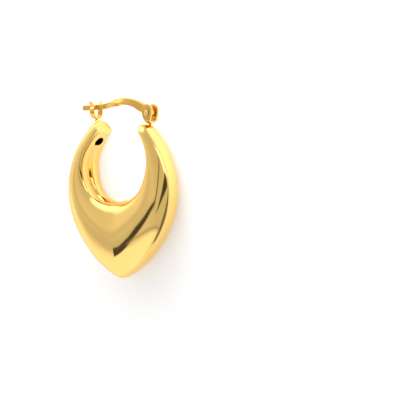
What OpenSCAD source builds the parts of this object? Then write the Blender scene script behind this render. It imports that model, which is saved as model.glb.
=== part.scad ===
// Creole hoop earring: a hollow puffed hoop with a pointed bottom, closed by a hinged ear bar.
// The earring lies on its back as it rests on a table: X runs across it towards the hinge,
// Y runs from the pointed bottom towards the ear bar, and Z points out of its front face.
// The origin is on the table, under the middle of the bounding box.

/* [Hoop body] */
// Thickness of the sheet metal that the hollow body is made of
wall = 0.3; // [0.2:0.05:0.4]
// Angle from the pointed bottom round to the flat end of the arm that carries the catch
catch_arm_angle = 145; // [142:1:146]
// Angle from the pointed bottom round to the rounded end of the arm that carries the hinge
hinge_arm_angle = 142; // [141:1:143]
// How far the rounding of the hinge arm's closed end narrows it on each side
hinge_end_radius = 0.75; // [0.6:0.05:0.8]
// Length of that rounding along the arm
hinge_end_length = 1.5; // [1.2:0.1:1.6]
// How far the opening leans against the outline, as in a hand-finished hoop
opening_lean = -0.41; // [-0.45:0.01:0]
// How much nearer to the opening the arms' crest lies, as a share of their width
crest_shift = 0.16; // [0:0.02:0.2]
// Width of the oval vent hole in the inner wall of the catch arm
vent_width = 1.5; // [1.2:0.05:1.6]
// Length of the vent hole, across the seam
vent_length = 1.7; // [1.65:0.05:1.9]
// Angle from the pointed bottom round to the vent hole
vent_angle = 125; // [120:1:130]

/* [Ear bar] */
// Distance of the hinge pin from the hoop's middle line
hinge_x = 5.5; // [5.4:0.05:5.55]
// Height of the hinge pin above the centre of the opening
hinge_y = 7.35; // [7.3:0.05:7.45]
// Radius of the round knuckle at the hinged end of the bar
knuckle_radius = 0.6; // [0.55:0.05:0.7]
// Thickness of the knuckle between the hinge ears
knuckle_thickness = 0.9; // [0.8:0.05:1]

/* [Hinge] */
// Radius of the hinge pin
pin_radius = 0.3; // [0.25:0.01:0.35]
// Radius of the riveted head of the hinge pin
pin_head_radius = 0.39; // [0.37:0.01:0.42]
// Radius of the countersink round each head of the hinge pin
countersink_radius = 0.52; // [0.48:0.01:0.55]
// Thickness of each hinge ear
ear_thickness = 0.4; // [0.3:0.05:0.5]
// Width of each hinge ear at the pin
ear_width = 1.82; // [1.7:0.02:1.9]
// Free play on each side of the knuckle
side_play = 0.1; // [0.06:0.02:0.14]
// Radial play of the pin in the knuckle and the ears
pin_play = 0.03; // [0.02:0.01:0.06]

/* [Catch] */
// Distance of the catch from the hoop's middle line
catch_x = 4.8; // [4.7:0.05:4.9]
// Outer radius of the catch ring
catch_radius = 1.15; // [1.1:0.05:1.25]
// Thickness of the band that the catch is bent from
band_thickness = 0.32; // [0.28:0.02:0.34]
// Width of the band that the catch is bent from
band_width = 0.85; // [0.7:0.05:0.9]
// Free width of the catch's neck, through which the bar swings
neck_gap = 0.94; // [0.92:0.02:1.04]

/* [Hidden] */

// One row for each section of the hoop body, from the pointed bottom to the end of an arm.
// Columns: angle, inner radius, outer radius, half depth, depth of the seam groove, how much further
// the back half reaches into the opening than the front half, and two powers that set how full the
// section's inner and outer shoulders are (1 is a plain ellipse, and less is squarer).
ANGLE = 0;
INNER = 1;
OUTER = 2;
DEPTH = 3;
GROOVE = 4;
BULGE = 5;
SHOULDER = 6;
CROWN = 7;
SECTIONS = [
    [0, 5.91, 17.50, 2.58, 0.25, 0.47, 0.70, 0.80],
    [12, 6.04, 16.11, 2.64, 0.35, 0.40, 0.65, 0.70],
    [26, 6.13, 14.37, 2.67, 0.44, 0.33, 0.60, 0.66],
    [45, 6.22, 12.51, 2.61, 0.43, 0.27, 0.55, 0.70],
    [70, 6.02, 10.36, 2.50, 0.46, 0.15, 0.45, 0.75],
    [95, 5.84, 8.74, 2.35, 0.40, 0, 0.40, 0.80],
    [120, 5.64, 7.84, 2.13, 0.21, 0, 0.38, 0.85],
    [145, 5.77, 7.77, 1.79, 0.02, 0, 0.40, 0.90],
];
// Slope of the outer radius where the two halves meet in the point, in mm per degree
POINT_SLOPE = -0.052;

// One row for each section of the ear bar, from its free tip to its knuckle.
// Columns: place along X, height above the opening's centre, width, thickness, and the turn of the
// strip about its own length (0 has the wide side facing the front, -90 has it facing up).
PLACE = 0;
HEIGHT = 1;
WIDE = 2;
THIN = 3;
TURN = 4;
BAR = [
    [-7.05, 8.20, 0.78, 0.86, -90],
    [-4.80, 8.27, 0.80, 0.86, -90],
    [-3.20, 8.38, 0.88, 0.86, -88],
    [-1.40, 8.81, 0.98, 0.84, -56],
    [0.60, 9.06, 1.08, 0.84, -16],
    [2.40, 8.82, 1.22, 0.84, 0],
    [3.80, 8.22, 1.40, 0.84, 0],
    [5.05, 7.60, 1.36, 0.84, 0],
];

// Power that rounds the corners of the ear bar's section (1 is round, 0.5 is square)
bar_roundness = 0.45;

// The smooth curve through one column of a table, whose first column is the key
function last(table) = len(table) - 1;
function gap_slope(table, i, c) = (table[i + 1][c] - table[i][c]) / (table[i + 1][0] - table[i][0]);
function row_slope(table, i, c, first) =
    i == 0 ? (is_undef(first) ? gap_slope(table, 0, c) : first) :
    i == last(table) ? gap_slope(table, i - 1, c) :
    (table[i + 1][c] - table[i - 1][c]) / (table[i + 1][0] - table[i - 1][0]);
function row_below(table, key) = max([for (i = [0 : last(table) - 1]) if (i == 0 || table[i][0] <= key) i]);
function value_at(table, key, c, first) =
    let (i = row_below(table, key))
    let (step = table[i + 1][0] - table[i][0])
    let (s = (key - table[i][0]) / step)
    let (a = table[i][c], b = table[i + 1][c])
    let (da = step * row_slope(table, i, c, first), db = step * row_slope(table, i + 1, c, first))
    a + s * da + s * s * (3 * (b - a) - 2 * da - db) + s * s * s * (2 * (a - b) + da + db);

// The hoop's section at a signed angle from the point, with its surface set in by `inset`
function body_value(angle, c) = value_at(SECTIONS, abs(angle), c, c == OUTER ? POINT_SLOPE : 0);
function body_inner(angle) = body_value(angle, INNER) + opening_lean * sin(2 * angle);
function signed_power(x, p) = sign(x) * pow(abs(x), p);
function section_point(angle, turn, inset) =
    let (power = body_value(angle, cos(turn) > 0 ? SHOULDER : CROWN))
    let (bulge = sin(turn) < 0 ? body_value(angle, BULGE) : 0)
    let (inner = body_inner(angle) - bulge + inset, outer = body_value(angle, OUTER) - inset)
    let (depth = body_value(angle, DEPTH) - inset)
    let (z = depth * signed_power(sin(turn), power))
    let (groove = (body_value(angle, GROOVE) + bulge) * exp(-abs(z) / (0.28 * depth)))
    let (dip = cos(turn) > 0 ? groove : 0)
    let (shift = crest_shift * min(abs(angle) / 95, 1) * pow(sin(turn), 2))
    let (reach = inner + (outer - inner) * ((1 - cos(turn)) / 2 - shift) + dip)
    [reach * sin(angle), -reach * cos(angle), z];

// Turns round a section, close together at the seam groove and at the outer edge
function section_turns(steps) =
    let (inner = [for (i = [0 : steps]) 90 * pow(i / steps, 1.8)])
    let (outer = [for (i = [steps - 1 : -1 : 0]) 180 - 90 * pow(i / steps, 1.4)])
    let (front = concat(inner, outer))
    concat(front, [for (i = [len(front) - 2 : -1 : 1]) 360 - front[i]]);

// Heights that depend on the sizes above
rest_height = max([for (row = SECTIONS) row[DEPTH]]);
catch_drop = 0.65;
bar_top = max([for (x = [-1 : 0.05 : 2])
    value_at(BAR, x, HEIGHT) + bar_half_height(x)]);
middle_y = (bar_top - SECTIONS[0][OUTER]) / 2;
ear_outside = knuckle_thickness / 2 + side_play + ear_thickness;
ear_inside = knuckle_thickness / 2 + side_play;
catch_y = value_at(BAR, -catch_x, HEIGHT) - catch_drop;

// The ear bar's section, a rounded strip of width `wide` and thickness `thin`
function strip_point(wide, thin, t) =
    [wide / 2 * signed_power(cos(t), bar_roundness), thin / 2 * signed_power(sin(t), bar_roundness)];
function turned(p, a) = [p[0] * cos(a) - p[1] * sin(a), p[0] * sin(a) + p[1] * cos(a)];
function bar_section(x, scale_by, count) =
    [for (i = [0 : count - 1])
        scale_by * turned(
            strip_point(value_at(BAR, x, WIDE), value_at(BAR, x, THIN), 360 * i / count),
            value_at(BAR, x, TURN))];
function bar_half_height(x) = max([for (p = bar_section(x, 1, 24)) p[0]]);
function bar_lean(x) = atan((value_at(BAR, x + 0.01, HEIGHT) - value_at(BAR, x - 0.01, HEIGHT)) / 0.02);
function bar_ring(x, scale_by, count) =
    let (y = value_at(BAR, x, HEIGHT), a = bar_lean(x))
    [for (p = bar_section(x, scale_by, count)) [x - p[0] * sin(a), y + p[0] * cos(a), p[1]]];

// A closed solid through a row of rings, each with the same number of points
module solid_of_rings(rings) {
    n = len(rings[0]);
    m = len(rings);
    sides = [for (i = [0 : m - 2], j = [0 : n - 1])
        let (k = (j + 1) % n)
        each [[i * n + j, (i + 1) * n + k, i * n + k], [i * n + j, (i + 1) * n + j, (i + 1) * n + k]]];
    first_end = [for (j = [0 : n - 1]) j];
    last_end = [for (j = [n - 1 : -1 : 0]) (m - 1) * n + j];
    polyhedron([for (ring = rings) each ring], concat(sides, [first_end], [last_end]), convexity = 10);
}

// The hoop body's surface, set in by `inset` all over, with a rounded end on its hinge arm
module body_form(inset, steps, turn_steps) {
    mm_per_degree = 0.12;
    round_steps = 6;
    end_length = hinge_end_length - inset;
    end_radius = hinge_end_radius - inset;
    start = -catch_arm_angle + inset / mm_per_degree;
    stop = hinge_arm_angle - hinge_end_length / mm_per_degree;
    catch_steps = round(-steps * start / (stop - start));
    hinge_steps = steps - catch_steps;
    turns = section_turns(turn_steps);
    arms = [for (i = [-catch_steps : hinge_steps])
        let (angle = i < 0 ? -start * i / catch_steps : stop * i / hinge_steps)
        [for (turn = turns) section_point(angle, turn, inset)]];
    end = [for (i = [1 : round_steps])
        let (a = 90 * i / round_steps)
        let (angle = stop + end_length * sin(a) / mm_per_degree)
        [for (turn = turns) section_point(angle, turn, inset + end_radius * (1 - cos(a)))]];
    solid_of_rings(concat(arms, end));
}

// The small hole that lets air out of the hollow body, through the seam in the inner wall
module vent_hole() {
    half_span = (vent_length - vent_width) / 2;
    depth = 2 * wall + 1.6;
    rotate([0, 0, -90 - vent_angle])
        translate([body_inner(-vent_angle) - 1, 0, 0]) {
            for (side = [-1, 1])
                translate([0, 0, side * half_span])
                    rotate([0, 90, 0])
                        cylinder(h = depth, d = vent_width, $fn = 48);
            translate([0, -vent_width / 2, -half_span])
                cube([depth, vent_width, 2 * half_span]);
        }
}

module hoop_body() {
    difference() {
        body_form(0, 92, 7);
        body_form(wall, 46, 5);
        vent_hole();
    }
}

// The catch: a band bent to a ring whose neck is open at the top, with two flared prongs
module catch_outline() {
    prong_length = 0.95;
    prong_flare = 30;
    prong_foot = 0.66 * catch_radius;
    difference() {
        circle(r = catch_radius, $fn = 64);
        circle(r = catch_radius - band_thickness, $fn = 64);
        translate([-neck_gap / 2, 0])
            square([neck_gap, 2 * catch_radius]);
    }
    for (side = [-1, 1])
        translate([side * (neck_gap + band_thickness) / 2, prong_foot])
            rotate(-side * prong_flare) {
                translate([-band_thickness / 2, 0])
                    square([band_thickness, prong_length]);
                translate([0, prong_length])
                    circle(d = band_thickness, $fn = 32);
                circle(d = band_thickness, $fn = 32);
            }
}

module catch_fork() {
    translate([-catch_x - band_width / 2, catch_y, 0])
        rotate([0, 90, 0])
            linear_extrude(band_width)
                catch_outline();
}

// The hinge ears: a strip bent to a U that holds the bar's knuckle, with drop-shaped ears
foot_drop = knuckle_radius + 0.6 + ear_thickness;
countersink_depth = 0.16;

module ear_outline() {
    top_y = 0.32;
    translate([0, top_y])
        circle(d = ear_width, $fn = 64);
    polygon([
        [-ear_width / 2, top_y], [ear_width / 2, top_y], [0.7, -0.7], [0.52, -1.25],
        [0.44, -foot_drop], [-0.15, -foot_drop], [-0.42, -1.25], [-0.76, -0.7]]);
}

// One side of the strip: straight above, with corners of the given radius at the bottom
module strip_form(half_width, bottom, radius) {
    hull() {
        for (side = [-1, 1])
            translate([side * (half_width - radius), bottom + radius])
                circle(r = radius, $fn = 48);
        translate([-half_width, 0])
            square([2 * half_width, 2]);
    }
}

// The strip seen along X: two ears that stand on one foot
module strip_outline() {
    bend_radius = 0.15;
    difference() {
        strip_form(ear_outside, -foot_drop, bend_radius + ear_thickness);
        strip_form(ear_inside, ear_thickness - foot_drop, bend_radius);
        translate([-ear_inside, 0])
            square([2 * ear_inside, 3]);
    }
}

module hinge_ears() {
    translate([hinge_x, hinge_y, 0])
        difference() {
            intersection() {
                translate([0, 0, -ear_outside])
                    linear_extrude(2 * ear_outside)
                        ear_outline();
                translate([-1.5, 0, 0])
                    rotate([0, 90, 0])
                        linear_extrude(3)
                            strip_outline();
            }
            translate([0, 0, -2])
                cylinder(h = 4, r = pin_radius + pin_play, $fn = 48);
            for (side = [0, 1])
                mirror([0, 0, side])
                    translate([0, 0, ear_outside - countersink_depth])
                        cylinder(
                            h = countersink_depth,
                            r1 = pin_radius + pin_play,
                            r2 = countersink_radius,
                            $fn = 48);
        }
}

// Solder that fills the corner between an arm's end and the part that stands on it
module solder(x, y, r) {
    translate([x, y, 0])
        sphere(r = r, $fn = 32);
}

module hoop() {
    color("gold")
        union() {
            hoop_body();
            catch_fork();
            hinge_ears();
            solder(-catch_x + 0.05, catch_y - catch_radius - 0.08, 0.4);
            solder(hinge_x - 0.08, hinge_y - foot_drop - 0.22, 0.46);
        }
}

module hinge_pin() {
    shaft_end = ear_outside - countersink_depth + 0.03;
    head_cone = 0.14;
    head_rim = 0.07;
    color("goldenrod")
        translate([hinge_x, hinge_y, 0]) {
            translate([0, 0, -shaft_end])
                cylinder(h = 2 * shaft_end, r = pin_radius, $fn = 48);
            for (side = [0, 1])
                mirror([0, 0, side])
                    translate([0, 0, shaft_end]) {
                        cylinder(h = head_cone, r1 = pin_radius, r2 = pin_head_radius, $fn = 48);
                        translate([0, 0, head_cone])
                            cylinder(
                                h = head_rim,
                                r1 = pin_head_radius,
                                r2 = 0.8 * pin_head_radius,
                                $fn = 48);
                    }
        }
}

module ear_bar() {
    steps = 40;
    sides = 20;
    start = BAR[0][PLACE];
    stop = BAR[last(BAR)][PLACE];
    tip_length = 0.35;
    tip_rings = [for (a = [80 : -20 : 20]) bar_ring(start - tip_length * sin(a), cos(a), sides)];
    color("gold")
        difference() {
            union() {
                solid_of_rings(concat(tip_rings, [for (i = [0 : steps])
                    bar_ring(start + (stop - start) * i / steps, 1, sides)]));
                translate([hinge_x, hinge_y, -knuckle_thickness / 2])
                    cylinder(h = knuckle_thickness, r = knuckle_radius, $fn = 64);
            }
            translate([hinge_x, hinge_y, -2])
                cylinder(h = 4, r = pin_radius + pin_play, $fn = 48);
        }
}

module at_rest() {
    translate([0, -middle_y, rest_height])
        children();
}

at_rest() hoop();
at_rest() hinge_pin();
at_rest() ear_bar();
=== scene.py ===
"""A hollow creole hoop earring in polished gold, lying on its back on a pale floor in soft studio light.

Lengths in the tables are in millimetres, as in the model's source; mm() turns them into metres.
X runs across the earring towards the hinge, Y from its point towards the ear bar, Z out of its front face.
"""

import math

import bmesh
import bpy
import numpy as np
from mathutils import Matrix, Vector


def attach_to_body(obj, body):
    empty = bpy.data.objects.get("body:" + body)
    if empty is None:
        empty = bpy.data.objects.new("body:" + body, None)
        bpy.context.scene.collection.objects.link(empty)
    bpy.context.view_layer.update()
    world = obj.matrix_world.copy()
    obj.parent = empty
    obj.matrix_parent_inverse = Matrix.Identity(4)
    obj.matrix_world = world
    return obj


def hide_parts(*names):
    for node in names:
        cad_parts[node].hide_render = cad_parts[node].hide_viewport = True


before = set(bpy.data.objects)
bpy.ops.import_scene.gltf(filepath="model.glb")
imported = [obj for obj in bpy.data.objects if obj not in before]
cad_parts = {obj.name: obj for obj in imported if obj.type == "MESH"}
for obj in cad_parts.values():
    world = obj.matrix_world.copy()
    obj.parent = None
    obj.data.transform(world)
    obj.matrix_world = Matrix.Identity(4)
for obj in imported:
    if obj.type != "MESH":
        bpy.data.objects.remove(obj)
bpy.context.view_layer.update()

# Driving sizes, the same as in the model's source
WALL = 0.3
CATCH_ARM_ANGLE = 145.0
HINGE_ARM_ANGLE = 142.0
OPENING_LEAN = -0.41
HINGE_END_RADIUS, HINGE_END_LENGTH = 0.75, 1.5
MM_PER_DEGREE = 0.12
CREST_SHIFT = 0.16
FULL_SHIFT_ANGLE = 95
GROOVE_SPREAD = 0.28
VENT_WIDTH = 1.5
VENT_LENGTH = 1.7
VENT_ANGLE = 125.0
HINGE_X, HINGE_Y = 5.5, 7.35
KNUCKLE_RADIUS, KNUCKLE_THICKNESS = 0.6, 0.9
PIN_RADIUS, PIN_HEAD_RADIUS, PIN_PLAY = 0.3, 0.39, 0.03
COUNTERSINK_RADIUS, COUNTERSINK_DEPTH = 0.52, 0.16
EAR_THICKNESS, EAR_WIDTH, SIDE_PLAY, FOOT_GAP = 0.4, 1.82, 0.1, 0.6
CATCH_X, CATCH_RADIUS, CATCH_DROP = 4.8, 1.15, 0.65
BAND_THICKNESS, BAND_WIDTH, NECK_GAP = 0.32, 0.85, 0.94
PRONG_FLARE, PRONG_LENGTH, PRONG_FOOT = 30, 0.95, 0.66

# Sections of the hoop body from the point to the end of an arm
SECTION_COLUMNS = ("angle", "inner", "outer", "depth", "groove", "bulge", "shoulder", "crown")
SECTIONS = (
    (0, 5.91, 17.50, 2.58, 0.25, 0.47, 0.70, 0.80),
    (12, 6.04, 16.11, 2.64, 0.35, 0.40, 0.65, 0.70),
    (26, 6.13, 14.37, 2.67, 0.44, 0.33, 0.60, 0.66),
    (45, 6.22, 12.51, 2.61, 0.43, 0.27, 0.55, 0.70),
    (70, 6.02, 10.36, 2.50, 0.46, 0.15, 0.45, 0.75),
    (95, 5.84, 8.74, 2.35, 0.40, 0, 0.40, 0.80),
    (120, 5.64, 7.84, 2.13, 0.21, 0, 0.38, 0.85),
    (145, 5.77, 7.77, 1.79, 0.02, 0, 0.40, 0.90),
)
POINT_SLOPE = -0.052

# Sections of the ear bar from its free tip to its knuckle
BAR_COLUMNS = ("place", "height", "wide", "thin", "turn")
BAR = (
    (-7.05, 8.20, 0.78, 0.86, -90),
    (-4.80, 8.27, 0.80, 0.86, -90),
    (-3.20, 8.38, 0.88, 0.86, -88),
    (-1.40, 8.81, 0.98, 0.84, -56),
    (0.60, 9.06, 1.08, 0.84, -16),
    (2.40, 8.82, 1.22, 0.84, 0),
    (3.80, 8.22, 1.40, 0.84, 0),
    (5.05, 7.60, 1.36, 0.84, 0),
)
BAR_ROUNDNESS = 0.36
TIP_LENGTH = 0.35


def mm(value):
    return value * 0.001


def read_curve(table, columns, name, keys, first_slope=None):
    """The smooth curve through one column of a table, whose first column is the key."""
    rows = np.array(table, float)
    x, y = rows[:, 0], rows[:, columns.index(name)]
    chord = np.diff(y) / np.diff(x)
    slope = np.empty_like(y)
    slope[0] = chord[0] if first_slope is None else first_slope
    slope[-1] = chord[-1]
    slope[1:-1] = (y[2:] - y[:-2]) / (x[2:] - x[:-2])
    keys = np.asarray(keys, float)
    i = np.clip(np.searchsorted(x, keys, side="right") - 1, 0, len(x) - 2)
    step = x[i + 1] - x[i]
    s = (keys - x[i]) / step
    a, b = y[i], y[i + 1]
    da, db = step * slope[i], step * slope[i + 1]
    return a + s * da + s**2 * (3 * (b - a) - 2 * da - db) + s**3 * (2 * (a - b) + da + db)


def section_value(name, angle):
    first_slope = POINT_SLOPE if name == "outer" else 0
    return read_curve(SECTIONS, SECTION_COLUMNS, name, abs(angle), first_slope)


def bar_value(name, place):
    return read_curve(BAR, BAR_COLUMNS, name, place)


def opening_lean(angle):
    """How much wider the opening is at a signed angle from the point, because it leans."""
    return OPENING_LEAN * math.sin(math.radians(2 * angle))


def signed_power(x, power):
    return np.sign(x) * np.abs(x) ** power


def strip_section(places, count):
    """Points round the ear bar's section at each place: offsets along its height and its depth."""
    t = np.arange(count) * 2 * np.pi / count
    across = signed_power(np.cos(t), BAR_ROUNDNESS)[None, :] * bar_value("wide", places)[:, None] / 2
    through = signed_power(np.sin(t), BAR_ROUNDNESS)[None, :] * bar_value("thin", places)[:, None] / 2
    turn = np.radians(bar_value("turn", places))[:, None]
    return (
        across * np.cos(turn) - through * np.sin(turn),
        across * np.sin(turn) + through * np.cos(turn),
    )


def top_of_bar():
    """The height of the ear bar's highest point, which lies on its arch near the middle."""
    places = np.linspace(-1, 2, 61)
    heights = bar_value("height", places) + strip_section(places, 96)[0].max(axis=1)
    return float(heights.max())


# The frame's origin lies under the middle of the bounding box, on the floor that carries the earring
REST_HEIGHT = max(row[SECTION_COLUMNS.index("depth")] for row in SECTIONS)
POINT_RADIUS = SECTIONS[0][SECTION_COLUMNS.index("outer")]
OPENING_CENTRE = np.array([0, -(top_of_bar() - POINT_RADIUS) / 2, REST_HEIGHT])
CATCH_Y = float(bar_value("height", [-CATCH_X])[0]) - CATCH_DROP
EAR_INSIDE = KNUCKLE_THICKNESS / 2 + SIDE_PLAY
EAR_OUTSIDE = EAR_INSIDE + EAR_THICKNESS
FOOT_DROP = KNUCKLE_RADIUS + FOOT_GAP + EAR_THICKNESS


# Meshes

# Edges that bend by more degrees than these are sharp
DEFAULT_SHARP, FINDING_SHARP, BODY_SHARP = 35, 40, 60
BAR_SHARP_BEFORE_CUTS = 50
MERGE_DISTANCE = 0.0005


def smooth(piece, sharp):
    """Smooth shading, except at edges that bend by more than sharp degrees."""
    piece.data.shade_smooth()
    piece.data.set_sharp_from_angle(angle=math.radians(sharp))


def make_piece(name, points, faces, material, sharp=DEFAULT_SHARP):
    """A smooth mesh piece from points in millimetres about the opening's centre."""
    mesh = bpy.data.meshes.new(name)
    placed = (np.asarray(points, float) + OPENING_CENTRE) * mm(1)
    mesh.from_pydata(placed.tolist(), [], [list(map(int, f)) for f in faces])
    tidy = bmesh.new()
    tidy.from_mesh(mesh)
    bmesh.ops.remove_doubles(tidy, verts=tidy.verts, dist=mm(MERGE_DISTANCE))
    bmesh.ops.recalc_face_normals(tidy, faces=tidy.faces)
    tidy.to_mesh(mesh)
    tidy.free()
    piece = bpy.data.objects.new(name, mesh)
    bpy.context.scene.collection.objects.link(piece)
    mesh.materials.append(material)
    smooth(piece, sharp)
    return piece


def attach(piece, body, node):
    """Ties a piece to its moving body and hides the solid that it stands for."""
    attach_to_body(piece, body)
    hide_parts(node)


def loft(rings):
    """Points and faces of a closed tube through rings with the same number of points."""
    rings = [np.asarray(r, float) for r in rings]
    n = len(rings[0])
    points = np.concatenate(rings)
    faces = [
        (i * n + j, i * n + (j + 1) % n, (i + 1) * n + (j + 1) % n, (i + 1) * n + j)
        for i in range(len(rings) - 1)
        for j in range(n)
    ]
    for first, row in ((0, rings[0]), ((len(rings) - 1) * n, rings[-1])):
        points = np.vstack([points, row.mean(axis=0)])
        hub = len(points) - 1
        faces += [(first + j, first + (j + 1) % n, hub) for j in range(n)]
    return points, faces


def lathe(profile, segments):
    """Rings of a body of revolution about Z, from pairs of radius and height."""
    t = np.arange(segments) * 2 * np.pi / segments
    return [np.column_stack([r * np.cos(t), r * np.sin(t), np.full(segments, z)]) for r, z in profile]


def shifted(rings, x, y):
    return [r + np.array([x, y, 0]) for r in rings]


def at_hinge(profile, segments):
    """Points and faces of a body of revolution about the hinge's axis."""
    return loft(shifted(lathe(profile, segments), HINGE_X, HINGE_Y))


def cut(piece, tool, operation="DIFFERENCE"):
    """Joins or cuts a piece with another object, which is used up."""
    modifier = piece.modifiers.new("cut", "BOOLEAN")
    modifier.operation = operation
    modifier.solver = "EXACT"
    modifier.object = tool
    bpy.context.view_layer.update()
    shape = bpy.data.meshes.new_from_object(piece.evaluated_get(bpy.context.evaluated_depsgraph_get()))
    piece.modifiers.clear()
    old = piece.data
    piece.data = shape
    bpy.data.meshes.remove(old)
    bpy.data.objects.remove(tool)


# Hoop body

SHELL_STEPS, SHELL_TURN_STEPS = 300, 26
HOLLOW_STEPS, HOLLOW_TURN_STEPS = 90, 10
CATCH_SHARE, HINGE_SHARE = 0.52, 0.48
INNER_CROWDING, OUTER_CROWDING = 1.8, 1.4
PLATE_GAP_ANGLE = 0.8
HINGE_END_STEPS = 19
VENT_TOOL_DEPTH, VENT_TOOL_START = 2.2, 1

# The flat end of an arm, from the body's edge inwards: inset, and how far it stands out of the end plane
END_PROFILE = (
    (0.00, -0.07),
    (0.015, -0.03),
    (0.05, -0.005),
    (0.09, 0.0),
    (0.20, 0.0),
    (0.23, -0.01),
    (0.26, -0.05),
    (0.29, -0.07),
    (0.32, -0.05),
    (0.35, -0.02),
    (0.40, -0.01),
)
PLATE_SCALES = (0.85, 0.65, 0.45, 0.25, 0.1)


def section_points(angle, turns, inset=0.0, outward=0.0):
    """The body's section in the plane at a signed angle from the point, set in by inset all over."""
    power = np.where(np.cos(turns) > 0, section_value("shoulder", angle), section_value("crown", angle))
    bulge = np.where(np.sin(turns) < 0, section_value("bulge", angle), 0.0)
    inner = section_value("inner", angle) + opening_lean(angle) - bulge + inset
    outer = section_value("outer", angle) - inset
    depth = section_value("depth", angle) - inset
    z = depth * signed_power(np.sin(turns), power)
    groove = (section_value("groove", angle) + bulge) * np.exp(-np.abs(z) / (GROOVE_SPREAD * depth))
    dip = np.where(np.cos(turns) > 0, groove, 0.0)
    shift = CREST_SHIFT * min(abs(angle) / FULL_SHIFT_ANGLE, 1) * np.sin(turns) ** 2
    reach = inner + (outer - inner) * ((1 - np.cos(turns)) / 2 - shift) + dip
    a = math.radians(angle)
    along = math.copysign(outward, angle)
    return np.stack(
        [
            reach * math.sin(a) + along * math.cos(a),
            -reach * math.cos(a) + along * math.sin(a),
            z,
        ],
        axis=1,
    )


def section_turns(steps):
    """Turns round a section, close together at the seam groove and at the outer edge."""
    inner = 90 * (np.arange(steps + 1) / steps) ** INNER_CROWDING
    outer = 180 - 90 * (np.arange(steps - 1, -1, -1) / steps) ** OUTER_CROWDING
    front = np.concatenate([inner, outer])
    return np.radians(np.concatenate([front, 360 - front[-2:0:-1]]))


def shrunk(rings):
    """The rings, followed by smaller copies of the last one that close on its middle."""
    middle = rings[-1].mean(axis=0)
    return rings + [middle + (rings[-1] - middle) * scale for scale in PLATE_SCALES]


def body_rings(steps, turn_steps, inset=0.0):
    """Rings from the catch arm's flat end to the hinge arm's rounded end."""
    turns = section_turns(turn_steps)
    gap = inset / MM_PER_DEGREE if inset else PLATE_GAP_ANGLE
    stop = HINGE_ARM_ANGLE - HINGE_END_LENGTH / MM_PER_DEGREE
    catch_angles = -np.linspace(CATCH_ARM_ANGLE - gap, 0, round(steps * CATCH_SHARE) + 1)
    hinge_angles = np.linspace(0, stop, round(steps * HINGE_SHARE) + 1)[1:]
    rings = [section_points(angle, turns, inset) for angle in np.concatenate([catch_angles, hinge_angles])]
    for a in np.radians(np.linspace(0, 90, HINGE_END_STEPS))[1:]:
        angle = stop + (HINGE_END_LENGTH - inset) * math.sin(a) / MM_PER_DEGREE
        rings.append(section_points(angle, turns, inset + (HINGE_END_RADIUS - inset) * (1 - math.cos(a))))
    if inset:
        return rings
    plate = [section_points(-CATCH_ARM_ANGLE, turns, inset=i, outward=o) for i, o in END_PROFILE]
    return shrunk(plate)[::-1] + rings + shrunk([rings[-1]])[1:]


def slot_prism(width, length, depth, segments=32):
    """A prism with round ends, along X from 0 to depth, its width along Y and its length along Z."""
    t = np.linspace(-np.pi / 2, np.pi / 2, segments)
    half = (length - width) / 2
    top = np.stack([width / 2 * np.sin(t), half + width / 2 * np.cos(t)], axis=1)
    outline = np.concatenate([top, -top])
    return [np.column_stack([np.full(len(outline), x), outline]) for x in (0.0, depth)]


def turned_about_z(points, degrees):
    a = math.radians(degrees)
    turn = np.array([[math.cos(a), -math.sin(a), 0], [math.sin(a), math.cos(a), 0], [0, 0, 1]])
    return np.asarray(points) @ turn.T


def take_inside(piece, material):
    """Gives every face of a piece the dark material of the inside, which is painted shade, as its second
    one.
    """
    piece.data.materials.append(material)
    for face in piece.data.polygons:
        face.material_index = 1


def make_vent_tool(material, inside):
    """The prism that cuts the vent through the inner wall of the catch arm."""
    inner = float(section_value("inner", VENT_ANGLE)) + opening_lean(-VENT_ANGLE)
    start = np.array([inner - VENT_TOOL_START, 0, 0])
    rings = slot_prism(VENT_WIDTH, VENT_LENGTH, VENT_TOOL_DEPTH)
    rings = [turned_about_z(r + start, -90 - VENT_ANGLE) for r in rings]
    tool = make_piece("vent_tool", *loft(rings), material)
    take_inside(tool, inside)
    return tool


def make_hoop_body(material, inside):
    """The hollow body, whose inside and vent rim are dull and painted dark as shade."""
    shell_rings = body_rings(SHELL_STEPS, SHELL_TURN_STEPS)
    hollow_rings = body_rings(HOLLOW_STEPS, HOLLOW_TURN_STEPS, WALL)
    body = make_piece("hoop_body", *loft(shell_rings), material, BODY_SHARP)
    hollow = make_piece("hollow", *loft(hollow_rings), material, BODY_SHARP)
    hollow.data.flip_normals()
    body.data.materials.append(inside)
    take_inside(hollow, inside)
    shells = bmesh.new()
    shells.from_mesh(body.data)
    shells.from_mesh(hollow.data)
    shells.to_mesh(body.data)
    shells.free()
    bpy.data.objects.remove(hollow)
    cut(body, make_vent_tool(material, inside))
    smooth(body, BODY_SHARP)
    return body


# Catch

FRONT_PRONG_LEAN, LEAN_POWER = 0.35, 1.3
PRONG_TAPER_LENGTH, PRONG_TIP_SHARE, TAPER_POWER = 1.25, 0.5, 0.8
PRONG_ROUND_END, THINNEST = 0.14, 0.02
RING_POINTS = 33
BAND_CORNER, CORNER_LIMIT = 0.07, 0.98


def smooth_path(points, rounds=3):
    """A path with its corners cut round, and its ends kept."""
    points = np.asarray(points, float)
    for _ in range(rounds):
        a, b = points[:-1], points[1:]
        cutting = np.empty((2 * len(a), points.shape[1]))
        cutting[0::2] = 0.75 * a + 0.25 * b
        cutting[1::2] = 0.25 * a + 0.75 * b
        points = np.vstack([points[:1], cutting, points[-1:]])
    return points


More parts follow.
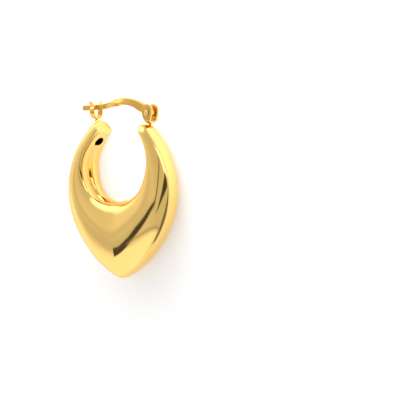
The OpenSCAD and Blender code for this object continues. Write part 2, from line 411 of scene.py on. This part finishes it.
def round_rectangle(half_wide, half_thick, radius, steps=4):
    """Outline of a rectangle with round corners, as offsets across and through."""
    radius = min(radius, CORNER_LIMIT * half_wide, CORNER_LIMIT * half_thick)
    corners = []
    for quarter in range(4):
        t = math.pi / 2 * (quarter + np.linspace(0, 1, steps + 1))
        sx = 1 if quarter in (0, 3) else -1
        sy = 1 if quarter in (0, 1) else -1
        across = sx * (half_wide - radius) + radius * np.cos(t)
        through = sy * (half_thick - radius) + radius * np.sin(t)
        corners.append(np.column_stack([across, through]))
    return np.concatenate(corners)


def strip_along(path, wide_at, thickness, centre_at, radius):
    """A strip bent along a path in the YZ plane; its width lies along X."""
    direction = np.gradient(path, axis=0)
    direction /= np.linalg.norm(direction, axis=1)[:, None]
    rings = []
    for i, (p, d) in enumerate(zip(path, direction)):
        outline = round_rectangle(wide_at(i), thickness / 2, radius)
        normal = np.array([-d[1], d[0]])
        rings.append(
            np.column_stack(
                [
                    centre_at(i) + outline[:, 0],
                    p[0] + normal[0] * outline[:, 1],
                    p[1] + normal[1] * outline[:, 1],
                ]
            )
        )
    return rings


def make_catch(material):
    """A band bent to a ring that is open at the top, with two flared prongs."""
    middle = CATCH_RADIUS - BAND_THICKNESS / 2
    neck = (NECK_GAP + BAND_THICKNESS) / 2
    neck_angle = math.degrees(math.asin(neck / middle))
    ring = [
        (-middle * math.cos(math.radians(a)), middle * math.sin(math.radians(a)))
        for a in np.linspace(-180 + neck_angle, 180 - neck_angle, RING_POINTS)
    ]
    flare = math.radians(PRONG_FLARE)
    tip_y = PRONG_FOOT * CATCH_RADIUS + PRONG_LENGTH * math.cos(flare)
    tip_z = neck + PRONG_LENGTH * math.sin(flare)
    path = smooth_path([(tip_y, -tip_z), *ring, (tip_y, tip_z)])
    reach = np.concatenate([[0], np.cumsum(np.linalg.norm(np.diff(path, axis=0), axis=1))])
    total = reach[-1]

    def from_tip(i):
        return min(reach[i], total - reach[i])

    def half_width(i):
        grown = min(from_tip(i) / PRONG_TAPER_LENGTH, 1) ** TAPER_POWER
        taper = PRONG_TIP_SHARE + (1 - PRONG_TIP_SHARE) * grown
        end = max(0, 1 - from_tip(i) / PRONG_ROUND_END)
        return BAND_WIDTH / 2 * taper * math.sqrt(max(THINNEST, 1 - end**2))

    def centre(i):
        lean = FRONT_PRONG_LEAN if path[i][1] > 0 else 0.0
        return -CATCH_X - lean * max(0, 1 - from_tip(i) / PRONG_TAPER_LENGTH) ** LEAN_POWER

    placed = path + np.array([CATCH_Y, 0])
    rings = strip_along(placed, half_width, BAND_THICKNESS, centre, BAND_CORNER)
    return make_piece("catch_fork", *loft(rings), material)


# Hinge

EAR_ROUND_HEIGHT = 0.32
EAR_BEND_INSIDE = 0.15
EAR_CORNER = 0.06

# Outline of the ears below their round tops, from the foot up: height, left edge and right edge
EAR_OUTLINE = (
    (-FOOT_DROP, -0.15, 0.44),
    (-1.25, -0.42, 0.52),
    (-0.7, -0.76, 0.70),
    (-0.2, -0.89, 0.86),
    (EAR_ROUND_HEIGHT, -EAR_WIDTH / 2, EAR_WIDTH / 2),
)


def ear_edges(y):
    """The left and right edge of the ears at a height above the hinge's axis."""
    radius = EAR_WIDTH / 2
    if y >= EAR_ROUND_HEIGHT:
        half = math.sqrt(max(radius**2 - (y - EAR_ROUND_HEIGHT) ** 2, 0.0))
        return -half, half
    heights, lefts, rights = zip(*EAR_OUTLINE)
    return np.interp(y, heights, lefts), np.interp(y, heights, rights)


def ear_path():
    """The middle of the bent strip from the front ear's top over the foot to the back ear's top."""
    middle = EAR_OUTSIDE - EAR_THICKNESS / 2
    bend = EAR_BEND_INSIDE + EAR_THICKNESS / 2
    bend_y = bend + EAR_THICKNESS / 2 - FOOT_DROP
    crown = np.radians(np.linspace(90, 0, 15))
    turn = np.radians(np.linspace(0, 90, 9))
    leg = [(EAR_ROUND_HEIGHT + EAR_WIDTH / 2 * math.sin(a), middle) for a in crown]
    leg += [(y, middle) for y in np.linspace(EAR_ROUND_HEIGHT, bend_y, 13)[1:-1]]
    corner = [(bend_y - bend * math.sin(a), middle - bend + bend * math.cos(a)) for a in turn]
    foot = [(bend_y - bend, z) for z in np.linspace(middle - bend, 0, 7)[1:]]
    half_path = leg + corner + foot
    return np.array(half_path + [(y, -z) for y, z in half_path[-2::-1]])


def make_hinge_ears(material):
    """A strip bent to a U, whose two ears have drop-shaped outlines and countersunk holes."""
    path = ear_path()

    def half_width(i):
        left, right = ear_edges(path[i][0])
        return max((right - left) / 2, THINNEST)

    def centre(i):
        left, right = ear_edges(path[i][0])
        return (left + right) / 2

    rings = strip_along(path, half_width, EAR_THICKNESS, centre, EAR_CORNER)
    placed = shifted(rings, HINGE_X, HINGE_Y)
    ears = make_piece("hinge_ears", *loft(placed), material, FINDING_SHARP)
    face = EAR_OUTSIDE
    sink = (
        (PIN_RADIUS + PIN_PLAY, face - 2 * COUNTERSINK_DEPTH),
        (PIN_RADIUS + PIN_PLAY, face - COUNTERSINK_DEPTH),
        (COUNTERSINK_RADIUS, face),
        (COUNTERSINK_RADIUS + 0.06, face + 0.05),
    )
    for side in (1, -1):
        profile = [(r, side * z) for r, z in sink]
        cut(ears, make_piece("sink_tool", *at_hinge(profile, 96), material))
    smooth(ears, FINDING_SHARP)
    return ears


def make_pin(material):
    """The rivet, with a low round head at each end."""
    face = EAR_OUTSIDE
    head = PIN_HEAD_RADIUS
    half = [
        (PIN_RADIUS, 0.0),
        (PIN_RADIUS, face - COUNTERSINK_DEPTH + 0.02),
        (head - 0.03, face - 0.03),
        (head, face),
        (head - 0.01, face + 0.03),
        (head * 0.85, face + 0.06),
        (head * 0.6, face + 0.075),
        (head * 0.3, face + 0.08),
    ]
    profile = [(r, -z) for r, z in half[:0:-1]] + half
    return make_piece("rivet", *at_hinge(profile, 64), material)


# Solder fillets: place along X, height of the finding's foot, radius on the arm and on the finding,
# and how far the fillet reaches below and above that foot
SOLDERS = {
    "catch_solder": (-CATCH_X + 0.05, CATCH_Y - CATCH_RADIUS, 0.5, 0.2, 0.35, 0.12),
    "hinge_solder": (HINGE_X - 0.08, HINGE_Y - FOOT_DROP, 0.6, 0.3, 0.5, 0.1),
}
SOLDER_FLARE = 2.4
SOLDER_ROOT_SHARE, SOLDER_ROOT_DEPTH = 0.6, 0.1


def make_solder(name, x, foot, low_radius, high_radius, below, above, material):
    """A fillet of solder that flares from the foot of a finding onto the end of an arm."""
    low, high = foot - below, foot + above
    profile = [(SOLDER_ROOT_SHARE * low_radius, low - SOLDER_ROOT_DEPTH)]
    for s in np.linspace(0, 1, 14):
        radius = high_radius + (low_radius - high_radius) * (1 - s) ** SOLDER_FLARE
        profile.append((radius, low + (high - low) * s))
    rings = [np.column_stack([r[:, 0], r[:, 2], r[:, 1]]) for r in lathe(profile, 48)]
    return make_piece(name, *loft(shifted(rings, x, 0)), material)


# Ear bar

BAR_STEPS = 141
TIP_POWER = 0.8
KNUCKLE_EDGE = 0.08
BORE_HALF_LENGTH = 1.0


def bar_rings():
    """Rings of the strip, whose free tip is closed by ever smaller ones."""
    start, stop = BAR[0][0], BAR[-1][0]
    tips = np.radians(np.linspace(88, 8, 9))
    places = np.concatenate([start - TIP_LENGTH * np.sin(tips), np.linspace(start, stop, BAR_STEPS)])
    scales = np.concatenate([np.cos(tips) ** TIP_POWER, np.ones(BAR_STEPS)])
    rise, depth = strip_section(places, 64)
    nudge = 0.01
    climb = bar_value("height", places + nudge) - bar_value("height", places - nudge)
    lean = np.arctan(climb / (2 * nudge))
    heights = bar_value("height", places)
    return [
        np.column_stack(
            [
                places[i] - scales[i] * rise[i] * math.sin(lean[i]),
                heights[i] + scales[i] * rise[i] * math.cos(lean[i]),
                scales[i] * depth[i],
            ]
        )
        for i in range(len(places))
    ]


def make_ear_bar(material):
    """The arched, twisted strip with its round knuckle and its rounded tip."""
    bar = make_piece("ear_bar_strip", *loft(bar_rings()), material, BAR_SHARP_BEFORE_CUTS)
    half, edge = KNUCKLE_THICKNESS / 2, KNUCKLE_EDGE
    knuckle = [
        (KNUCKLE_RADIUS - edge, -half),
        (KNUCKLE_RADIUS - 0.3 * edge, -half + 0.3 * edge),
        (KNUCKLE_RADIUS, -half + edge),
        (KNUCKLE_RADIUS, half - edge),
        (KNUCKLE_RADIUS - 0.3 * edge, half - 0.3 * edge),
        (KNUCKLE_RADIUS - edge, half),
    ]
    cut(bar, make_piece("knuckle_tool", *at_hinge(knuckle, 96), material), "UNION")
    bore = [(PIN_RADIUS + PIN_PLAY, z) for z in (-BORE_HALF_LENGTH, BORE_HALF_LENGTH)]
    cut(bar, make_piece("bore_tool", *at_hinge(bore, 64), material))
    smooth(bar, FINDING_SHARP)
    return bar


# Materials

# Main tone, second tone, least roughness, how much rougher the marks are, and strength of the uneven surface
GOLDS = {
    "polished_gold": ((0.94, 0.625, 0.19), (0.96, 0.655, 0.21), 0.04, 0.04, 0.12),
    # A darker, more orange copy of the same gold for the ear bar and hinge ears: painted shade and painted
    # orange reflection
    "bar_gold": ((0.80, 0.48, 0.12), (0.77, 0.45, 0.11), 0.26, 0.06, 0.08),
    # A darker, more orange copy of the same gold for the catch: painted shade and painted orange reflection
    "catch_gold_painted_dark": ((0.84, 0.50, 0.12), (0.80, 0.46, 0.11), 0.10, 0.06, 0.1),
    # A slightly lighter copy of the same gold for the rivet: painted light
    "pin_gold": ((0.95, 0.68, 0.26), (0.96, 0.70, 0.28), 0.08, 0.06, 0.1),
    # Nearly black inside of the hollow and rim of the vent: painted shade
    "inside_painted_shade": ((0.10, 0.05, 0.02), (0.14, 0.07, 0.02), 0.6, 0.1, 0.2),
}
TONE_SCALE, MARK_SCALE, RIPPLE_SCALE, GRAIN_SCALE = 180, 900, 450, 6000
RIPPLE_DEPTH, GRAIN_DEPTH = 0.01, 0.0015
NOISE_LOW, NOISE_HIGH = 0.3, 0.7


def make_gold(name, colour, second_colour, roughness, wear, ripple):
    """Gold of any finish, with slow changes of tone, fine buffing marks and an uneven surface."""
    material = bpy.data.materials.new(name)
    material.use_nodes = True
    nodes, links = material.node_tree.nodes, material.node_tree.links
    shader = nodes["Principled BSDF"]
    shader.inputs["Metallic"].default_value = 1.0
    place = nodes.new("ShaderNodeTexCoord")

    def noise(scale, detail, stretch=(1, 1, 1)):
        mapping = nodes.new("ShaderNodeMapping")
        mapping.inputs["Scale"].default_value = stretch
        links.new(place.outputs["Object"], mapping.inputs["Vector"])
        texture = nodes.new("ShaderNodeTexNoise")
        texture.inputs["Scale"].default_value = scale
        texture.inputs["Detail"].default_value = detail
        links.new(mapping.outputs["Vector"], texture.inputs["Vector"])
        return texture

    def span(texture, low, high):
        remap = nodes.new("ShaderNodeMapRange")
        remap.inputs["From Min"].default_value = NOISE_LOW
        remap.inputs["From Max"].default_value = NOISE_HIGH
        remap.inputs["To Min"].default_value = low
        remap.inputs["To Max"].default_value = high
        links.new(texture.outputs["Fac"], remap.inputs["Value"])
        return remap

    tone = nodes.new("ShaderNodeMix")
    tone.data_type = "RGBA"
    tone.inputs["A"].default_value = (*colour, 1)
    tone.inputs["B"].default_value = (*second_colour, 1)
    links.new(span(noise(TONE_SCALE, 2), 0, 1).outputs["Result"], tone.inputs["Factor"])
    links.new(tone.outputs["Result"], shader.inputs["Base Color"])

    marks = span(noise(MARK_SCALE, 4, (1, 6, 1)), roughness, roughness + wear)
    links.new(marks.outputs["Result"], shader.inputs["Roughness"])

    slow = nodes.new("ShaderNodeBump")
    slow.inputs["Strength"].default_value = ripple
    slow.inputs["Distance"].default_value = mm(RIPPLE_DEPTH)
    links.new(noise(RIPPLE_SCALE, 1).outputs["Fac"], slow.inputs["Height"])
    fine = nodes.new("ShaderNodeBump")
    fine.inputs["Strength"].default_value = ripple
    fine.inputs["Distance"].default_value = mm(GRAIN_DEPTH)
    links.new(noise(GRAIN_SCALE, 3, (1, 4, 1)).outputs["Fac"], fine.inputs["Height"])
    links.new(slow.outputs["Normal"], fine.inputs["Normal"])
    links.new(fine.outputs["Normal"], shader.inputs["Normal"])
    return material


FLOOR_DARK, FLOOR_LIGHT = 0.76, 0.79
FLOOR_GLOW = 0.3
FLOOR_GRAIN_SCALE = 400
FLOOR_HALF_METRES = 1.5


def make_floor_material():
    """A pale matt floor with a faint grain and a weak glow, like a light table."""
    material = bpy.data.materials.new("floor_paper")
    material.use_nodes = True
    nodes, links = material.node_tree.nodes, material.node_tree.links
    shader = nodes["Principled BSDF"]
    shader.inputs["Roughness"].default_value = 0.9
    shader.inputs["Specular IOR Level"].default_value = 0.1
    shader.inputs["Emission Color"].default_value = (1, 1, 1, 1)
    shader.inputs["Emission Strength"].default_value = FLOOR_GLOW
    grain = nodes.new("ShaderNodeTexNoise")
    grain.inputs["Scale"].default_value = FLOOR_GRAIN_SCALE
    tone = nodes.new("ShaderNodeMapRange")
    tone.inputs["To Min"].default_value = FLOOR_DARK
    tone.inputs["To Max"].default_value = FLOOR_LIGHT
    links.new(grain.outputs["Fac"], tone.inputs["Value"])
    join = nodes.new("ShaderNodeCombineColor")
    for channel in ("Red", "Green", "Blue"):
        links.new(tone.outputs["Result"], join.inputs[channel])
    links.new(join.outputs["Color"], shader.inputs["Base Color"])
    return material


def make_floor(material):
    mesh = bpy.data.meshes.new("floor")
    half = FLOOR_HALF_METRES
    corners = [(-half, -half, 0), (half, -half, 0), (half, half, 0), (-half, half, 0)]
    mesh.from_pydata(corners, [], [(0, 1, 2, 3)])
    mesh.materials.append(material)
    floor = bpy.data.objects.new("floor", mesh)
    bpy.context.scene.collection.objects.link(floor)


# Camera and light

CAMERA_AZIMUTH, CAMERA_RISE, CAMERA_ROLL = (math.radians(a) for a in (35.617, 3.027, 0.763))
MM_PER_PIXEL = 0.15
IMAGE_WIDTH = 400
OPENING_PIXEL = (121.883, 162.06)
CAMERA_PIXELS = 1000 / 0.7
SENSOR_WIDTH = 36


def make_camera():
    """The photograph's view from the hinge's side, with the opening in the same place of the picture."""
    az, rise, roll = CAMERA_AZIMUTH, CAMERA_RISE, CAMERA_ROLL
    back = Vector((math.sin(az) * math.cos(rise), math.sin(rise), math.cos(az) * math.cos(rise)))
    across = Vector((math.cos(az), 0, -math.sin(az)))
    up = Vector((-math.sin(az) * math.sin(rise), math.cos(rise), -math.cos(az) * math.sin(rise)))
    right = across * math.cos(roll) - up * math.sin(roll)
    top = across * math.sin(roll) + up * math.cos(roll)
    half = IMAGE_WIDTH / 2
    aim = Vector(OPENING_CENTRE) + MM_PER_PIXEL * (
        (half - OPENING_PIXEL[0]) * right - (half - OPENING_PIXEL[1]) * top
    )
    data = bpy.data.cameras.new("camera")
    data.sensor_width = SENSOR_WIDTH
    data.lens = data.sensor_width * CAMERA_PIXELS / IMAGE_WIDTH
    data.clip_start, data.clip_end = 0.01, 10
    camera = bpy.data.objects.new("camera", data)
    bpy.context.scene.collection.objects.link(camera)
    turn = Matrix((right, top, back)).transposed().to_4x4()
    place = (aim + back * CAMERA_PIXELS * MM_PER_PIXEL) * mm(1)
    camera.matrix_world = Matrix.Translation(place) @ turn
    bpy.context.scene.camera = camera


LAMP_PLACE = (5, 15, 14)
LAMP_SIZE = (36, 20)
LAMP_WATTS = 0.0053


def make_floor_lamp():
    """A soft lamp that hangs low past the ear bar and brightens the floor there, unseen in the gold."""
    data = bpy.data.lights.new("floor_lamp", "AREA")
    data.shape = "RECTANGLE"
    data.size, data.size_y = (mm(side) for side in LAMP_SIZE)
    data.energy = LAMP_WATTS
    lamp = bpy.data.objects.new("floor_lamp", data)
    bpy.context.scene.collection.objects.link(lamp)
    lamp.location = [mm(c) for c in LAMP_PLACE]
    lamp.visible_glossy = False
    lamp.visible_camera = False


# Cards of the light tent, by direction in degrees. The azimuth runs from +Z towards +X, the rise towards +Y.
# Each lies along a slanting line from its left end to its right end.
CARD_COLUMNS = (
    "left",
    "right",
    "side_soft",
    "left_rise",
    "right_rise",
    "left_half",
    "right_half",
    "edge_soft",
    "level",
    "cover",
)
CARDS = {
    "key": (-82, 55, 40, 51, 100, 34, 25, 24, 2.4, 1.0),
    "right_strip": (70, 100, 10, 32, 32, 16, 16, 14, 2.2, 1.0),
    "face_shade": (-62, -24, 24, -12, -8, 7, 7, 12, 0.58, 0.7),
    "face_core": (-54, -32, 10, 0, 0, 2.5, 2.5, 6, 0.64, 0.8),
    "streak_blob": (-39.2, -31, 1.2, -16, -12.5, 5.0, 4.0, 2.0, 0.07, 1.0),
    "streak_low": (-34, 2, 6, -12, -9, 3.8, 0.9, 2.0, 0.07, 1.0),
    "streak_high": (-4, 60, 6, -11, 34, 2.2, 1.6, 2.5, 0.15, 0.9),
    "dark_patch": (8, 80, 6, -18, 12, 0.5, 10, 3.0, 0.07, 1.0),
    "left_line": (56, 95, 6, -48, -26, 14, 34, 6.0, 0.12, 0.85),
    "low_line": (-34, 110, 6, -14, -62, 0.8, 1.5, 2.5, 0.35, 0.7),
}

# The tent darkens from left to right between two azimuths
LEFT_LEVEL, RIGHT_LEVEL = 1.0, 0.68
TENT_LEFT, TENT_RIGHT = -90.0, 30.0

# Its lower part glows, below a soft edge that falls to the right, and is less bright on the right
GLOW_EDGE_RISE, GLOW_EDGE_SLOPE, GLOW_EDGE_SOFT = -26.0, 0.33, 6.0
GLOW_LEVEL, SIDE_GLOW_LEVEL = 1.25, 1.0
GLOW_SLANT, GLOW_LEFT, GLOW_RIGHT = 0.5, -4.0, 24.0


class Sums:
    """Short names for the arithmetic nodes of a node tree. Values are sockets or plain numbers."""

    def __init__(self, tree):
        self.tree = tree

    def node(self, operation, *values):
        node = self.tree.nodes.new("ShaderNodeMath")
        node.operation = operation
        for socket, value in zip(node.inputs, values):
            self.feed(socket, value)
        return node.outputs[0]

    def feed(self, socket, value):
        if isinstance(value, (int, float)):
            socket.default_value = value
        else:
            self.tree.links.new(value, socket)

    def step(self, value, low, high):
        """Rises smoothly from 0 to 1 as value goes from low to high."""
        node = self.tree.nodes.new("ShaderNodeMapRange")
        node.interpolation_type = "SMOOTHSTEP"
        for name, number in (("Value", value), ("From Min", low), ("From Max", high)):
            self.feed(node.inputs[name], number)
        return node.outputs["Result"]

    def blend(self, a, b, share):
        """a where share is 0, b where it is 1."""
        return self.node("ADD", a, self.node("MULTIPLY", self.node("SUBTRACT", b, a), share))


def card_share(sums, azimuth, rise, card):
    """How much of a card is seen in a direction, from 0 to 1."""
    left, right = card["left"], card["right"]
    side, edge = card["side_soft"] / 2, card["edge_soft"] / 2
    along = sums.node("DIVIDE", sums.node("SUBTRACT", azimuth, left), right - left)
    along = sums.node("MINIMUM", sums.node("MAXIMUM", along, 0.0), 1.0)
    middle = sums.blend(card["left_rise"], card["right_rise"], along)
    half = sums.blend(card["left_half"], card["right_half"], along)
    away = sums.node("SUBTRACT", sums.node("ABSOLUTE", sums.node("SUBTRACT", rise, middle)), half)
    outside = sums.step(away, -edge, edge)
    enter = sums.step(azimuth, left - side, left + side)
    leave = sums.step(azimuth, right - side, right + side)
    share = sums.node("MULTIPLY", sums.node("SUBTRACT", 1.0, outside), sums.node("SUBTRACT", enter, leave))
    return sums.node("MULTIPLY", share, card["cover"])


def make_world():
    """A light tent: even and pale, with a bright key, a bright lower front and a few dark strips."""
    world = bpy.data.worlds.new("tent")
    world.use_nodes = True
    bpy.context.scene.world = world
    tree = world.node_tree
    sums = Sums(tree)
    split = tree.nodes.new("ShaderNodeSeparateXYZ")
    tree.links.new(tree.nodes.new("ShaderNodeTexCoord").outputs["Generated"], split.inputs[0])
    degrees = 180 / math.pi
    azimuth = sums.node("MULTIPLY", sums.node("ARCTAN2", split.outputs["X"], split.outputs["Z"]), degrees)
    rise = sums.node("MULTIPLY", sums.node("ARCSINE", split.outputs["Y"]), degrees)
    low_edge = sums.node("SUBTRACT", GLOW_EDGE_RISE, sums.node("MULTIPLY", azimuth, GLOW_EDGE_SLOPE))
    below = sums.step(sums.node("SUBTRACT", low_edge, rise), 0.0, GLOW_EDGE_SOFT)
    slant = sums.node("ADD", azimuth, sums.node("MULTIPLY", rise, GLOW_SLANT))
    glow = sums.blend(GLOW_LEVEL, SIDE_GLOW_LEVEL, sums.step(slant, GLOW_LEFT, GLOW_RIGHT))
    tent = sums.blend(LEFT_LEVEL, RIGHT_LEVEL, sums.step(azimuth, TENT_LEFT, TENT_RIGHT))
    level = sums.blend(tent, glow, below)
    for row in CARDS.values():
        card = dict(zip(CARD_COLUMNS, row))
        level = sums.blend(level, card["level"], card_share(sums, azimuth, rise, card))
    background = tree.nodes["Background"]
    join = tree.nodes.new("ShaderNodeCombineColor")
    for channel in ("Red", "Green", "Blue"):
        tree.links.new(level, join.inputs[channel])
    tree.links.new(join.outputs["Color"], background.inputs["Color"])


make_camera()
make_floor(make_floor_material())
make_world()
make_floor_lamp()

gold = {name: make_gold(name, *row) for name, row in GOLDS.items()}

hoop_body = make_hoop_body(gold["polished_gold"], gold["inside_painted_shade"])
attach(hoop_body, "hoop", "hoop")
attach(make_catch(gold["catch_gold_painted_dark"]), "hoop", "hoop")
attach(make_hinge_ears(gold["bar_gold"]), "hoop", "hoop")
for solder, row in SOLDERS.items():
    attach(make_solder(solder, *row, gold["polished_gold"]), "hoop", "hoop")
attach(make_pin(gold["pin_gold"]), "hoop", "hinge_pin")
attach(make_ear_bar(gold["bar_gold"]), "bar", "ear_bar")

bpy.context.scene.view_settings.view_transform = "Standard"
